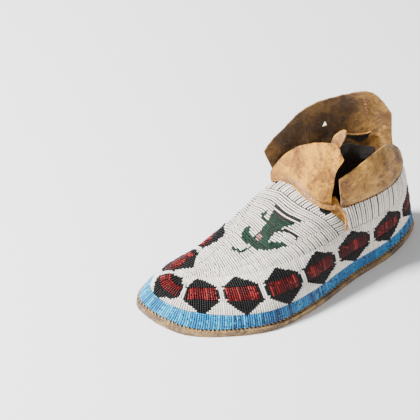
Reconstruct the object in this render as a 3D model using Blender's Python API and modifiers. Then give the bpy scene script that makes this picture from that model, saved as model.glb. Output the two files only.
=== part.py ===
"""Beaded hard-sole moccasin for a left foot, Plains style.

Metres, +Z up. The toe points to -Y and the outer (little toe) side is +X. The sole rests on
z = 0. The upper is one hide surface that rises from the sole all the way round and closes
along a ridge line over the toes; behind the instep it stays open for the foot. Strings of
beads lie on it in lanes that run round the sole edge, and a hide tongue and an ankle cuff
are sewn to its top edge.
"""
import math

import bmesh
import bpy
import numpy as np
from mathutils import Vector

MM = 0.001
GAP = 0.3 * MM
LOOSE_GAP = 0.7 * MM

# sole
HALF_LENGTH = 131 * MM
SOLE_THICK = 5.5 * MM
SOLE_MARGIN = 4.0 * MM
SOLE_GAP = 1.1 * MM
SPRING_START = 80 * MM
TOE_SPRING = 4.5 * MM
HEEL_SPRING = 7 * MM

# outline of the sole in mm, clockwise from the back of the heel along the outer side
OUTLINE = [(2, 130), (17, 119), (29, 92), (38, 52), (53, 4), (58, -38), (46, -79), (25, -112),
           (-12, -131), (-33, -117), (-42, -86), (-42, -46), (-39, 2), (-36, 50), (-32, 90), (-19, 118)]

# ridge line of the hide, in mm, by its y
RIDGE_X = [(-85, -9), (-50, -11), (-12, -15), (25, -14), (60, -4), (92, 0)]
RIDGE_Z = [(-85, 26), (-64, 32), (-42, 44), (-12, 65), (8, 78), (20, 83), (50, 98), (92, 106)]

# where a vertical row of the hide that starts at an outline y meets the ridge line, in mm
OUTER_ROWS = [(-108, -85), (-79, -64), (-38, -41), (4, -13), (46, 25), (56, 36), (90, 79), (107, 92)]
INNER_ROWS = [(-112, -85), (-86, -70), (-50, -34), (-22, 8), (-13, 22), (-3, 35), (47, 60), (90, 82), (107, 92)]

# shape of each row: a boxy quarter curve
SIDE_POWER = 0.45
RISE_POWER = 1.35
HIDE_THICK = 1.4 * MM

# stations on the ridge line
TOE_Y = -85 * MM
VAMP_END = 8 * MM
TONGUE_SEAM = 20 * MM
QUARTER_START = 34 * MM
HEEL_Y = 92 * MM
TOE_ROWS = 9
HEEL_ROWS = 7

# beadwork, measured along the hide from the sole edge
BEAD_THICK = 1.7 * MM
EDGE_LANE = 12.2 * MM
BAND_LANE = 11.8 * MM
BAND_TOP = EDGE_LANE + 3 * BAND_LANE
SEAM_HEIGHT = BAND_TOP + 23 * MM
SEAM_MARGIN = 3.2 * MM

# tongue and ankle cuff
CUFF_THICK = 1.8 * MM
CUFF_GAP = 0.6 * MM
TONGUE_THICK = 2.0 * MM
TONGUE_SPAN = (0.08, 0.93)
TONGUE_ACROSS = (0.913, 0.409)
TONGUE_LEAN = 12 * MM
TONGUE_DOME = 6 * MM
TONGUE_SETBACK = 3 * MM
TONGUE_BULGE = 0.12
TONGUE_TAPER = 0.14
# tongue height in mm, from its outer end (0) to its inner end (1) along the seam
TONGUE_HEIGHT = [(0.08, 45), (0.25, 46), (0.45, 44), (0.65, 40), (0.82, 34), (0.93, 25)]
TONGUE_HINGE = (0, 24 * MM, 84 * MM)
OUTER_HINGE = (23.6 * MM, 63 * MM, 76.2 * MM)
INNER_HINGE = (-26.2 * MM, 71 * MM, 76.6 * MM)
INSTEP_SPAN = (0.78, 0.42, 0.06)
# cuff height and outward lean, in mm, from the outer front corner (0) round the heel to the inner one (1)
CUFF_HEIGHT = [(0, 28), (0.12, 33), (0.27, 35), (0.38, 47), (0.48, 65), (0.6, 72), (0.75, 66), (0.9, 52), (1, 35)]
CUFF_LEAN = [(0, 2), (0.2, -3), (0.4, -10), (0.5, -6), (0.7, 8), (0.85, 13), (1, 14)]
CUFF_FORWARD = [(0, 2), (0.3, 0), (0.7, 2), (0.9, 7), (1, 9)]
OUTER_FLAP_END = 0.30
INNER_FLAP_START = 0.52

LACE_RADIUS = 1.2 * MM
# lace route in mm from the outer front corner of the opening, from its curled end to its hanging end
LACE_ROUTE = [(2.6, -7.5, 9.5), (3.4, -6, 8), (5, -4.5, 6.8), (7.4, -3, 5), (10.4, -2, 1), (12.2, -2, -4),
              (13.3, -2.4, -8.5), (14, -3, -13)]
SINEW = 0.9 * MM

PARTS = bpy.data.collections.new("moccasin")


def key_curve(x, keys):
    """Smooth curve through (x, y) keys, flat beyond its ends."""
    xs, ys = np.array(keys, float).T
    slopes = np.gradient(ys, xs)
    x = np.clip(x, xs[0], xs[-1])
    i = np.clip(np.searchsorted(xs, x) - 1, 0, len(xs) - 2)
    h = xs[i + 1] - xs[i]
    t = (x - xs[i]) / h
    return ((2 * t**3 - 3 * t**2 + 1) * ys[i] + (t**3 - 2 * t**2 + t) * h * slopes[i]
            + (3 * t**2 - 2 * t**3) * ys[i + 1] + (t**3 - t**2) * h * slopes[i + 1])


def closed_curve(points, steps=40):
    """Catmull-Rom curve through a closed list of points."""
    points = np.array(points, float)
    t = np.linspace(0, 1, steps, endpoint=False)[:, None]
    spans = []
    for i in range(len(points)):
        a, b, c, d = (points[(i + k - 1) % len(points)] for k in range(4))
        spans.append(0.5 * (2 * b + (c - a) * t + (2 * a - 5 * b + 4 * c - d) * t**2
                            + (3 * b - a - 3 * c + d) * t**3))
    return np.vstack(spans)


def sole_spring(y):
    """Lift of the sole towards the toe and the heel."""
    toe = max(0.0, (-y - SPRING_START) / (HALF_LENGTH - SPRING_START))
    heel = max(0.0, (y - SPRING_START) / (HALF_LENGTH - SPRING_START))
    return TOE_SPRING * toe**2 + HEEL_SPRING * heel**2


def side_point(curve, y, outer):
    """Point of the outline at a given y on the outer or the inner side."""
    tip = int(np.argmin(curve[:, 1]))
    side = curve[:tip + 1] if outer else np.vstack([curve[tip:], curve[:1]])[::-1]
    return np.array([np.interp(-y, -side[:, 1], side[:, 0]), y])


class Row:
    """One line of the hide from the sole edge up to its point on the ridge line."""

    def __init__(self, outline, ridge_y):
        self.outline = outline
        self.ridge_y = ridge_y
        self.ridge = np.array([key_curve(ridge_y / MM, RIDGE_X) * MM, ridge_y])
        inward = self.ridge - outline
        self.foot = outline + inward / np.linalg.norm(inward) * SOLE_MARGIN
        base = sole_spring(self.foot[1]) + SOLE_THICK + SOLE_GAP
        rise = key_curve(ridge_y / MM, RIDGE_Z) * MM - base
        step = np.linspace(0, 1, 90)
        phase = math.pi / 2 * (1 - (1 - step)**2.5)
        inset = 1 - np.maximum(np.cos(phase), 0)**SIDE_POWER
        slant = 0.5 * inset + 0.5 * phase / (math.pi / 2)
        line_x = self.foot[0] + (self.ridge[0] - self.foot[0]) * inset
        line_y = self.foot[1] + (self.ridge[1] - self.foot[1]) * slant
        self.line = np.column_stack([line_x, line_y, base + rise * np.sin(phase)**RISE_POWER])
        self.arc = np.concatenate([[0], np.cumsum(np.linalg.norm(np.diff(self.line, axis=0), axis=1))])
        self.length = self.arc[-1]
        self.lane_scale = min(1.0, 0.9 * self.length / BAND_TOP)

    def at(self, distance):
        return np.array([np.interp(distance, self.arc, self.line[:, k]) for k in range(3)])

    def top(self):
        """Length of the hide on this row: to the ridge, or to the ankle opening."""
        if self.ridge_y < QUARTER_START - MM:
            return self.length
        return SEAM_HEIGHT

    def crown(self, share):
        """Distance at a share of the way from the beaded band to the top."""
        start = BAND_TOP * self.lane_scale
        return start + (self.top() - start) * share


def ridge_stations():
    """Ridge positions of the rows on each side, from the heel to the toe."""
    parts = [np.linspace(HEEL_Y, QUARTER_START, 9)[:-1], [QUARTER_START], [TONGUE_SEAM],
             np.linspace(VAMP_END, TOE_Y, 14)]
    return np.concatenate(parts)


def build_rows():
    """Outer rows from heel to toe, rows round the toe, inner rows back, rows round the heel."""
    curve = closed_curve(OUTLINE) * MM

    def side(keys, outer):
        back = [(ridge, foot) for foot, ridge in keys]
        return [Row(side_point(curve, key_curve(y / MM, back) * MM, outer), y) for y in ridge_stations()]

    def fan(first, last, count, ridge_y):
        a = int(np.argmin(np.linalg.norm(curve - first.outline, axis=1)))
        b = int(np.argmin(np.linalg.norm(curve - last.outline, axis=1)))
        b += len(curve) if b < a else 0
        picks = np.linspace(a, b, count + 2)[1:-1].round().astype(int) % len(curve)
        return [Row(curve[p], ridge_y) for p in picks]

    outer = side(OUTER_ROWS, True)
    inner = side(INNER_ROWS, False)[::-1]
    toe = fan(outer[-1], inner[0], TOE_ROWS, TOE_Y)
    heel = fan(inner[-1], outer[0], HEEL_ROWS, HEEL_Y)
    return outer, toe, inner, heel


def material(name, colour, rough):
    mat = bpy.data.materials.new(name)
    mat.use_nodes = True
    shader = mat.node_tree.nodes["Principled BSDF"]
    shader.inputs["Base Color"].default_value = (*colour, 1.0)
    shader.inputs["Roughness"].default_value = rough
    shader.inputs["Metallic"].default_value = 0.0
    return mat


def normals(grid, closed):
    """Unit normals of a grid of points [row, step], looking out of the shoe."""
    along = np.roll(grid, -1, 0) - np.roll(grid, 1, 0) if closed else np.gradient(grid, axis=0)
    up = np.gradient(grid, axis=1)
    normal = np.cross(up, along)
    return normal / np.maximum(np.linalg.norm(normal, axis=2, keepdims=True), 1e-9)


def surface(name, grid, closed, mat, thickness, origin=(0, 0, 0)):
    """Open surface through a grid of points [row, step], thickened outward, or inward if negative."""
    rows, steps = grid.shape[:2]
    faces = []
    for i in range(rows if closed else rows - 1):
        j = (i + 1) % rows
        for k in range(steps - 1):
            faces.append((i * steps + k, j * steps + k, j * steps + k + 1, i * steps + k + 1))
    mesh = bpy.data.meshes.new(name)
    mesh.from_pydata([tuple(p) for p in grid.reshape(-1, 3) - np.array(origin)], [], faces)
    bm = bmesh.new()
    bm.from_mesh(mesh)
    bmesh.ops.remove_doubles(bm, verts=bm.verts, dist=0.05 * MM)
    bmesh.ops.recalc_face_normals(bm, faces=bm.faces)
    bm.to_mesh(mesh)
    bm.free()
    middle = (rows // 2, steps // 2)
    centre = Vector(grid[middle] - np.array(origin))
    face = min(mesh.polygons, key=lambda face: (face.center - centre).length)
    if face.normal.dot(Vector(normals(grid, closed)[middle])) < 0:
        mesh.flip_normals()
    mesh.materials.append(mat)
    obj = bpy.data.objects.new(name, mesh)
    obj.location = origin
    PARTS.objects.link(obj)
    thick = obj.modifiers.new("thickness", 'SOLIDIFY')
    thick.thickness = abs(thickness)
    thick.offset = 1.0 if thickness > 0 else -1.0
    return obj


def sole(rows, mat):
    """Rawhide sole: a plate that lifts a little at the toe and the heel."""
    grid = []
    for row in rows:
        margin = np.linalg.norm(row.foot - row.outline) / np.linalg.norm(row.ridge - row.outline)
        points = [row.outline + (row.ridge - row.outline) * share for share in (0, margin, 0.5, 1)]
        grid.append([(x, y, sole_spring(y)) for x, y in points])
    return surface("sole", np.array(grid), True, mat, SOLE_THICK)


def hide_stops(row):
    """Distances at which the hide has a point on a row."""
    lanes = [0, EDGE_LANE / 2, EDGE_LANE] + [EDGE_LANE + BAND_LANE * k / 2 for k in range(1, 7)]
    crown = [row.crown(share) for share in (0.2, 0.4, 0.6, 0.8, 1.0)]
    return [stop * row.lane_scale for stop in lanes] + crown


def upper(rows, mat):
    """Soft hide upper: closed over the toes, open at the ankle and against the sole."""
    grid = np.array([[row.at(stop) for stop in hide_stops(row)] for row in rows])
    return surface("upper", grid, True, mat, -HIDE_THICK)


def bead_lane(name, rows, closed, start, end, mat, steps=3):
    """A lane of beadwork between two distances up the hide; start and end are functions of the row."""
    grid = np.array([[row.at(stop) for stop in np.linspace(start(row), end(row), steps)] for row in rows])
    return surface(name, grid + normals(grid, closed) * GAP, closed, mat, BEAD_THICK)


def band_lanes(rows, blue, red, white):
    """The four lanes that run all round the shoe above the sole."""
    edges = [SINEW + GAP, EDGE_LANE, EDGE_LANE + BAND_LANE, EDGE_LANE + 2 * BAND_LANE, BAND_TOP]
    names = ["lane_sole_edge", "lane_band_lower", "lane_band_middle", "lane_band_upper"]
    for name, low, high, mat in zip(names, edges, edges[1:], [blue, white, red, white]):
        bead_lane(name, rows, True, lambda row, low=low: low * row.lane_scale + GAP,
                  lambda row, high=high: high * row.lane_scale - GAP, mat)


def crown_lane(name, rows, shares, mat, closed=False):
    """A lane between shares of the crown, the hide above the beaded band."""
    inner_edge = np.zeros(len(shares))
    inner_edge[0], inner_edge[-1] = GAP, -GAP
    grid = np.array([[row.at(row.crown(k) + inset) for k, inset in zip(shares, inner_edge)] for row in rows])
    return surface(name, grid + normals(grid, closed) * GAP, closed, mat, BEAD_THICK)


def vamp_lanes(outer, toe, inner, mat):
    """Lanes that run from the toe to the instep between the two sides of the band."""
    front_outer = [row for row in outer if row.ridge_y <= VAMP_END + MM / 2]
    front_inner = [row for row in inner if row.ridge_y <= VAMP_END + MM / 2]
    crown_lane("lane_vamp_outer_1", front_outer, [0, 0.2, 0.4], mat)
    crown_lane("lane_vamp_outer_2", front_outer, [0.4, 0.6, 0.8], mat)
    crown_lane("lane_vamp_inner", front_inner, [0, 0.2, 0.4, 0.6], mat)
    crown_lane("lane_toe_fill", toe[1:-1], [0, 0.2, 0.4, 0.6], mat)
    grid = []
    for a, b in list(zip(front_outer, front_inner[::-1]))[:-1]:
        up = [a.at(a.crown(0.8) + GAP), a.at(a.length)]
        down = [b.at(b.crown(0.8)), b.at(b.crown(0.6) + GAP)]
        grid.append(up + down)
    grid = np.array(grid)
    surface("lane_vamp_centre", grid + normals(grid, False) * GAP, False, mat, BEAD_THICK)


def between(a, b, share, distance_a, distance_b):
    """Point between two rows, each taken at its own distance."""
    return a.at(distance_a) * (1 - share) + b.at(distance_b) * share


def row_at(rows, ridge_y):
    return min(rows, key=lambda row: abs(row.ridge_y - ridge_y))


def instep_lane(outer, inner, mat):
    """Short lane across the instep, in front of the tongue seam."""
    shares = [0, 0.2, 0.4, 0.6, 0.8, 1.0]
    sides = [[row_at(side, y) for y in (VAMP_END, TONGUE_SEAM)] for side in (outer, inner)]
    grid = []
    for share in INSTEP_SPAN:
        outer_line, inner_line = ([between(a, b, share, a.crown(k) + GAP * (k == 0), b.crown(k) + GAP * (k == 0))
                                   for k in shares] for a, b in sides)
        grid.append(outer_line + inner_line[::-1][1:])
    grid = np.array(grid)
    return surface("lane_instep", grid + normals(grid, False) * LOOSE_GAP, False, mat, BEAD_THICK)


def opening_rows(outer, heel, inner):
    """Rows that end at the ankle opening, from the outer front corner round the heel."""
    back_outer = [row for row in outer if row.ridge_y > QUARTER_START - MM][::-1]
    back_inner = [row for row in inner if row.ridge_y > QUARTER_START - MM]
    return back_outer + heel[::-1] + back_inner[::-1]


def quarter_lane(outer, heel, inner, mat):
    """Tall lane between the hexagon band and the cuff, round the heel."""
    shares = [0, 0.2, 0.4, 0.6, 0.8]

    grid = []
    for row in opening_rows(outer, heel, inner)[::-1]:
        top = 1 - SEAM_MARGIN / (SEAM_HEIGHT - BAND_TOP)
        grid.append([row.at(row.crown(k) + GAP * (k == 0)) for k in shares + [top]])
    grid = np.array(grid)
    return surface("lane_quarter", grid + normals(grid, False) * LOOSE_GAP, False, mat, BEAD_THICK)


def path_points(points, shares):
    """Points at given shares of the length of a polyline."""
    points = np.array(points)
    arc = np.concatenate([[0], np.cumsum(np.linalg.norm(np.diff(points, axis=0), axis=1))])
    return np.stack([np.interp(np.array(shares) * arc[-1], arc, points[:, k]) for k in range(3)], 1)


def cuff_grid(base_line, low, high, columns, steps=5):
    """Surface of the ankle cuff between two shares of its length."""
    shares = np.linspace(low, high, columns)
    base = path_points(base_line, shares)
    ahead = path_points(base_line, np.minimum(shares + 0.01, 1))
    behind = path_points(base_line, np.maximum(shares - 0.01, 0))
    along = ahead - behind
    outward = np.column_stack([along[:, 1], -along[:, 0], np.zeros(columns)])
    outward /= np.linalg.norm(outward, axis=1)[:, None]
    height = key_curve(shares, CUFF_HEIGHT)[:, None] * MM
    lean = key_curve(shares, CUFF_LEAN)[:, None] * MM
    forward = key_curve(shares, CUFF_FORWARD)[:, None] * MM
    lines = []
    for t in np.linspace(0, 1, steps):
        rise = np.array([0, 0, 1]) * (CUFF_GAP + height * t)
        lines.append(base + rise + outward * lean * t**1.3 - np.array([0, 1, 0]) * forward * t**1.5)
    return np.stack(lines, 1)


def cuff(base_line, mat):
    """Ankle cuff of soft hide: an outer flap, a heel collar and a taller inner flap."""
    gap = CUFF_GAP / 2 / np.linalg.norm(np.diff(np.array(base_line), axis=0), axis=1).sum()
    pieces = [("cuff_outer_flap", 0, OUTER_FLAP_END - gap, 9, OUTER_HINGE),
              ("cuff_heel", OUTER_FLAP_END + gap, INNER_FLAP_START - gap, 9, (0, 0, 0)),
              ("cuff_inner_flap", INNER_FLAP_START + gap, 1, 12, INNER_HINGE)]
    for name, low, high, columns, origin in pieces:
        grid = cuff_grid(base_line, low, high, columns)[::-1]
        surface(name, grid, False, mat, -CUFF_THICK, origin)


def tongue(seam_line, mat):
    """Hide tongue, sewn across the instep, domed forward and leaning back a little."""
    shares = np.linspace(*TONGUE_SPAN, 12)
    base = path_points(seam_line, shares)
    middle = base.mean(axis=0)
    back = np.array([-TONGUE_ACROSS[1], TONGUE_ACROSS[0], 0])
    height = key_curve(shares, TONGUE_HEIGHT)[:, None] * MM
    lines = []
    for t in np.linspace(0, 1, 7):
        spread = (base - middle) * (1 + TONGUE_BULGE * math.sin(math.pi * t) - TONGUE_TAPER * t * t)
        dome = (1 - ((shares - 0.55) / 0.6)**2)[:, None] * math.sin(math.pi * t) * TONGUE_DOME
        rise = np.array([0, 0, 1]) * (CUFF_GAP + height * t)
        lines.append(middle + spread + rise + back * (TONGUE_SETBACK + TONGUE_LEAN * t * t - dome))
    return surface("tongue", np.stack(lines, 1)[::-1], False, mat, -TONGUE_THICK, TONGUE_HINGE)


def sole_seam(rows, mat):
    """Sinew thread on the margin of the sole, where the upper is sewn down."""
    grid = []
    for row in rows:
        middle = row.outline * 0.8 + row.foot * 0.2
        across = (row.foot - row.outline) / np.linalg.norm(row.foot - row.outline) * SINEW / 2
        grid.append([(x, y, sole_spring(y) + SOLE_THICK + GAP) for x, y in (middle + across, middle - across)])
    return surface("sole_seam_sinew", np.array(grid)[:, ::-1], True, mat, SINEW)


def cuff_seam(rows, mat):
    """Sinew thread along the top edge of the upper, where the cuff is sewn on."""
    middle = SEAM_MARGIN / 2
    grid = np.array([[row.at(row.top() - back) for back in (middle + SINEW / 2, middle - SINEW / 2)]
                     for row in rows])[::-1]
    return surface("cuff_seam_sinew", grid + normals(grid, False) * GAP, False, mat, SINEW)


def tie_lace(corner, mat):
    """Hide lace through the outer front corner of the cuff, with its two short ends."""
    curve = bpy.data.curves.new("tie_lace", 'CURVE')
    curve.dimensions = '3D'
    curve.bevel_depth = LACE_RADIUS
    curve.bevel_resolution = 2
    curve.use_fill_caps = True
    spline = curve.splines.new('POLY')
    spline.points.add(len(LACE_ROUTE) - 1)
    for point, offset in zip(spline.points, LACE_ROUTE):
        point.co = (*(corner + np.array(offset) * MM), 1)
    curve.materials.append(mat)
    PARTS.objects.link(bpy.data.objects.new("tie_lace", curve))


def main():
    for obj in list(bpy.data.objects):
        bpy.data.objects.remove(obj)
    bpy.context.scene.collection.children.link(PARTS)
    white = material("white_beads", (0.80, 0.76, 0.70), 0.35)
    blue = material("blue_beads", (0.06, 0.28, 0.55), 0.3)
    red = material("red_beads", (0.25, 0.01, 0.015), 0.25)
    hide = material("smoked_hide", (0.45, 0.30, 0.16), 0.85)
    sinew = material("sinew", (0.5, 0.36, 0.2), 0.6)
    rawhide = material("rawhide", (0.35, 0.24, 0.12), 0.75)
    outer, toe, inner, heel = build_rows()
    rows = outer + toe + inner + heel
    sole(rows, rawhide)
    upper(rows, hide)
    band_lanes(rows, blue, red, white)
    vamp_lanes(outer, toe, inner, white)
    instep_lane(outer, inner, white)
    quarter_lane(outer, heel, inner, white)
    opening = opening_rows(outer, heel, inner)
    edge = [row.at(row.top()) for row in opening]
    ridge_point = row_at(outer, TONGUE_SEAM).at(1)
    cuff(edge, hide)
    tongue([edge[0], ridge_point, edge[-1]], hide)
    sole_seam(rows, sinew)
    cuff_seam(opening, sinew)
    tie_lace(edge[0], hide)


main()
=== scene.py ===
"""Visual model of a beaded hard-sole moccasin for a left foot.

Metres, +Z up, toe to -Y, outer side to +X, sole on z = 0. The beads are laid row by row over the
same hide lines that the CAD lanes follow, so the driving numbers of the hide are repeated here.
"""
import math

import bpy
import numpy as np
from mathutils import Matrix, Vector, noise
from mathutils.bvhtree import BVHTree


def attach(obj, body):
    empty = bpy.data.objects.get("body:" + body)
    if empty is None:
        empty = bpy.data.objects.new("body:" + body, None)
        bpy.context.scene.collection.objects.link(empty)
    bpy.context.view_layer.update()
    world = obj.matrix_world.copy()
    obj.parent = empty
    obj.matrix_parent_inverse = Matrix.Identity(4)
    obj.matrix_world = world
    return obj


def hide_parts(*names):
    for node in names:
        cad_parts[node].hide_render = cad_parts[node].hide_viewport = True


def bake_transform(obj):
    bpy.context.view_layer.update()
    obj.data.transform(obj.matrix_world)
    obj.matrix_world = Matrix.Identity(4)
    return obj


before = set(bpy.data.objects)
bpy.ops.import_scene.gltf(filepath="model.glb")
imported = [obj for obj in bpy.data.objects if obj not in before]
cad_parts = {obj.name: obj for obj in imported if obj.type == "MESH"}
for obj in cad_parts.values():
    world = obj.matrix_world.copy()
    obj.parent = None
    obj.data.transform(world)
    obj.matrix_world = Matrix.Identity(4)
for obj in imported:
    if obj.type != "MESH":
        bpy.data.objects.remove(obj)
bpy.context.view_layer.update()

MM = 0.001
ROOT = "moccasin"
rng = np.random.default_rng(7)

# ---- the hide's driving numbers, in mm
GAP = 0.3
HALF_LENGTH = 131
SOLE_THICK = 5.5
SOLE_GAP = 1.1
SOLE_MARGIN = 4.0
SPRING_START = 80
TOE_SPRING = 4.5
HEEL_SPRING = 7
OUTLINE = [(2, 130), (17, 119), (29, 92), (38, 52), (53, 4), (58, -38), (46, -79), (25, -112),
           (-12, -131), (-33, -117), (-42, -86), (-42, -46), (-39, 2), (-36, 50), (-32, 90), (-19, 118)]
RIDGE_X = [(-85, -9), (-50, -11), (-12, -15), (25, -14), (60, -4), (92, 0)]
RIDGE_Z = [(-85, 26), (-64, 32), (-42, 44), (-12, 65), (8, 78), (20, 83), (50, 98), (92, 106)]
OUTER_ROWS = [(-108, -85), (-79, -64), (-38, -41), (4, -13), (46, 25), (56, 36), (90, 79), (107, 92)]
INNER_ROWS = [(-112, -85), (-86, -70), (-50, -34), (-22, 8), (-13, 22), (-3, 35), (47, 60), (90, 82),
              (107, 92)]
SIDE_POWER = 0.45
RISE_POWER = 1.35
TOE_Y = -85
QUARTER_START = 34
HEEL_Y = 92
EDGE_LANE = 12.2
BAND_LANE = 11.8
TOE_EDGE_EXTRA = 2.6
TOE_EXTRA_START = 75
TOE_EXTRA_RUN = 40
BAND_TOP = EDGE_LANE + 3 * BAND_LANE
SEAM_HEIGHT = BAND_TOP + 23
TONGUE_RIDGE = (-14.7, 20)
OUTER_CORNER = (21.9, 44.1)
INNER_CORNER = (-30.6, 15)
# number of dense hide rows along the quarter, the side in front of it, the toe and the heel
QUARTER_ROWS = 60
SIDE_ROWS = 118
TOE_ROWS = 60
HEEL_ROWS = 44
ROW_STEPS = 90
RIDGE_CROWDING = 2.5
# points per lane up each row, and the steps where the band ends and where the row ends
LANE_STEPS = 20
BAND_STEP = 4 * LANE_STEPS
TOP_STEP = 5 * LANE_STEPS


def unit(vectors):
    return vectors / np.linalg.norm(vectors, axis=-1, keepdims=True)


def key_curve(x, keys):
    """Smooth curve through (x, y) keys, flat beyond its ends."""
    xs, ys = np.array(keys, float).T
    slopes = np.gradient(ys, xs)
    x = np.clip(x, xs[0], xs[-1])
    i = np.clip(np.searchsorted(xs, x) - 1, 0, len(xs) - 2)
    h = xs[i + 1] - xs[i]
    t = (x - xs[i]) / h
    return ((2 * t**3 - 3 * t**2 + 1) * ys[i] + (t**3 - 2 * t**2 + t) * h * slopes[i]
            + (3 * t**2 - 2 * t**3) * ys[i + 1] + (t**3 - t**2) * h * slopes[i + 1])


def arc_lengths(points):
    """Distance of each point of a chain from the first one, along the chain."""
    return np.concatenate([[0], np.cumsum(np.linalg.norm(np.diff(points, axis=0), axis=1))])


def catmull_rom(a, b, c, d, t):
    """Catmull-Rom point at share t between b and c."""
    return 0.5 * (2 * b + (c - a) * t + (2 * a - 5 * b + 4 * c - d) * t**2 + (3 * b - a - 3 * c + d) * t**3)


def closed_curve(points, steps=60):
    """Smooth curve through a closed list of points."""
    points = np.array(points, float)
    t = np.linspace(0, 1, steps, endpoint=False)[:, None]
    return np.vstack([catmull_rom(*(points[(i + k - 1) % len(points)] for k in range(4)), t)
                      for i in range(len(points))])


def sole_spring(y):
    """Lift of the sole towards the toe and the heel."""
    toe = np.maximum(0.0, (-y - SPRING_START) / (HALF_LENGTH - SPRING_START))
    heel = np.maximum(0.0, (y - SPRING_START) / (HALF_LENGTH - SPRING_START))
    return TOE_SPRING * toe**2 + HEEL_SPRING * heel**2


CURVE = closed_curve(OUTLINE)
TIP = int(np.argmin(CURVE[:, 1]))


def side_point(y, outer):
    """Point of the sole's outline at y, on the outer or the inner side."""
    side = CURVE[:TIP + 1] if outer else np.vstack([CURVE[TIP:], CURVE[:1]])[::-1]
    return np.array([np.interp(-y, -side[:, 1], side[:, 0]), y])


class Row:
    """One line of the hide from the sole edge up to its point on the ridge line, in mm."""

    def __init__(self, outline, ridge_y):
        self.outline = outline
        self.ridge = np.array([key_curve(ridge_y, RIDGE_X), ridge_y])
        self.foot = outline + unit(self.ridge - outline) * SOLE_MARGIN
        base = sole_spring(self.foot[1]) + SOLE_THICK + SOLE_GAP
        rise = key_curve(ridge_y, RIDGE_Z) - base
        phase = math.pi / 2 * (1 - (1 - np.linspace(0, 1, ROW_STEPS))**RIDGE_CROWDING)
        inset = 1 - np.maximum(np.cos(phase), 0)**SIDE_POWER
        slant = 0.5 * inset + 0.5 * phase / (math.pi / 2)
        x = self.foot[0] + (self.ridge[0] - self.foot[0]) * inset
        y = self.foot[1] + (self.ridge[1] - self.foot[1]) * slant
        self.line = np.column_stack([x, y, base + rise * np.sin(phase)**RISE_POWER])
        self.arc = arc_lengths(self.line)
        self.length = self.arc[-1]
        self.scale = min(1.0, 0.9 * self.length / BAND_TOP)
        self.top = SEAM_HEIGHT if ridge_y >= QUARTER_START - 1 else self.tongue_crossing()

    def tongue_crossing(self):
        """Arc length where the row meets the tongue's seam, or its whole length in front of it."""
        outer = self.outline[0] > self.ridge[0]
        run = np.array(OUTER_CORNER if outer else INNER_CORNER) - TONGUE_RIDGE
        rel = self.line[:, :2] - TONGUE_RIDGE
        behind = (run[0] * rel[:, 1] - run[1] * rel[:, 0]) * (1 if outer else -1) > 0
        hits = np.nonzero(behind & (self.arc > BAND_TOP))[0]
        return self.arc[hits[0]] if len(hits) else self.length

    def at(self, distance):
        """Point of the row at a distance up from its foot."""
        return np.stack([np.interp(distance, self.arc, self.line[:, k]) for k in range(3)], -1)

    def level(self, v):
        """Distance up the row: v 0-4 are the lane edges (sole, edge lane, band), 5 is the top."""
        toe = np.clip((-self.foot[1] - TOE_EXTRA_START) / TOE_EXTRA_RUN, 0, 1)
        first = EDGE_LANE + TOE_EDGE_EXTRA * toe
        edges = np.array([0, first, EDGE_LANE + BAND_LANE + 0.3 * TOE_EDGE_EXTRA * toe,
                          EDGE_LANE + 2 * BAND_LANE, BAND_TOP]) * self.scale
        return np.interp(v, range(6), [*edges, self.top])


def side_row(ridge_y, outer):
    """Row of one side that meets the ridge line at ridge_y."""
    back = [(ridge, foot) for foot, ridge in (OUTER_ROWS if outer else INNER_ROWS)]
    return Row(side_point(key_curve(ridge_y, back), outer), ridge_y)


def all_rows():
    """Dense rows in one closed loop: outer heel to toe, the toe, inner toe to heel, the heel."""
    stations = np.concatenate([np.linspace(HEEL_Y, QUARTER_START, QUARTER_ROWS), [QUARTER_START - 1.01],
                               np.linspace(QUARTER_START - 2, TOE_Y, SIDE_ROWS)])

    def side(outer):
        return [side_row(y, outer) for y in stations]

    def fan(first, last, count, ridge_y):
        a = int(np.argmin(np.linalg.norm(CURVE - first.outline, axis=1)))
        b = int(np.argmin(np.linalg.norm(CURVE - last.outline, axis=1)))
        b += len(CURVE) if b < a else 0
        picks = np.linspace(a, b, count + 2)[1:-1].round().astype(int) % len(CURVE)
        return [Row(CURVE[p], ridge_y) for p in picks]

    outer = side(True)
    inner = side(False)[::-1]
    toe = fan(outer[-1], inner[0], TOE_ROWS, TOE_Y)
    heel = fan(inner[-1], outer[0], HEEL_ROWS, HEEL_Y)
    return outer, toe, inner, heel


OUTER, TOE, INNER, HEEL = all_rows()
ROWS = OUTER + TOE + INNER + HEEL
LEVELS = np.linspace(0, 5, TOP_STEP + 1)
# points of the hide as [row, level]
HIDE = np.array([row.at(row.level(LEVELS)) for row in ROWS])


def grid_normals(grid, closed):
    """Unit normals of a [row, step] grid, whose rows may close into a loop."""
    along = np.roll(grid, -1, 0) - np.roll(grid, 1, 0) if closed else np.gradient(grid, axis=0)
    normal = np.cross(np.gradient(grid, axis=1), along)
    return normal / np.maximum(np.linalg.norm(normal, axis=2, keepdims=True), 1e-9)


NORMALS = grid_normals(HIDE, True)


def bilinear(grid, i, k):
    """Value of a grid at a fractional row i (wrapping) and a fractional column k."""
    a, b = np.floor(i).astype(int), np.floor(k).astype(int)
    c = (a + 1) % len(grid)
    s, t = (i - a)[..., None], (k - b)[..., None]
    return ((grid[a, b] * (1 - t) + grid[a, b + 1] * t) * (1 - s)
            + (grid[c, b] * (1 - t) + grid[c, b + 1] * t) * s)


def sample(grid, i, v):
    """Value of a [row, level] grid at a fractional row i and a level v."""
    return bilinear(grid, np.asarray(i, float) % len(grid),
                    np.clip(np.asarray(v, float) * LANE_STEPS, 0, TOP_STEP - 0.001))


# ---- materials
def settings(node, values):
    for name, value in values.items():
        node.inputs[name].default_value = value


def new_material(name, values):
    """Material, its node tree and its shader, with the shader's settings."""
    mat = bpy.data.materials.new(name)
    mat.use_nodes = True
    shader = mat.node_tree.nodes["Principled BSDF"]
    settings(shader, values)
    return mat, mat.node_tree, shader


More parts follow.
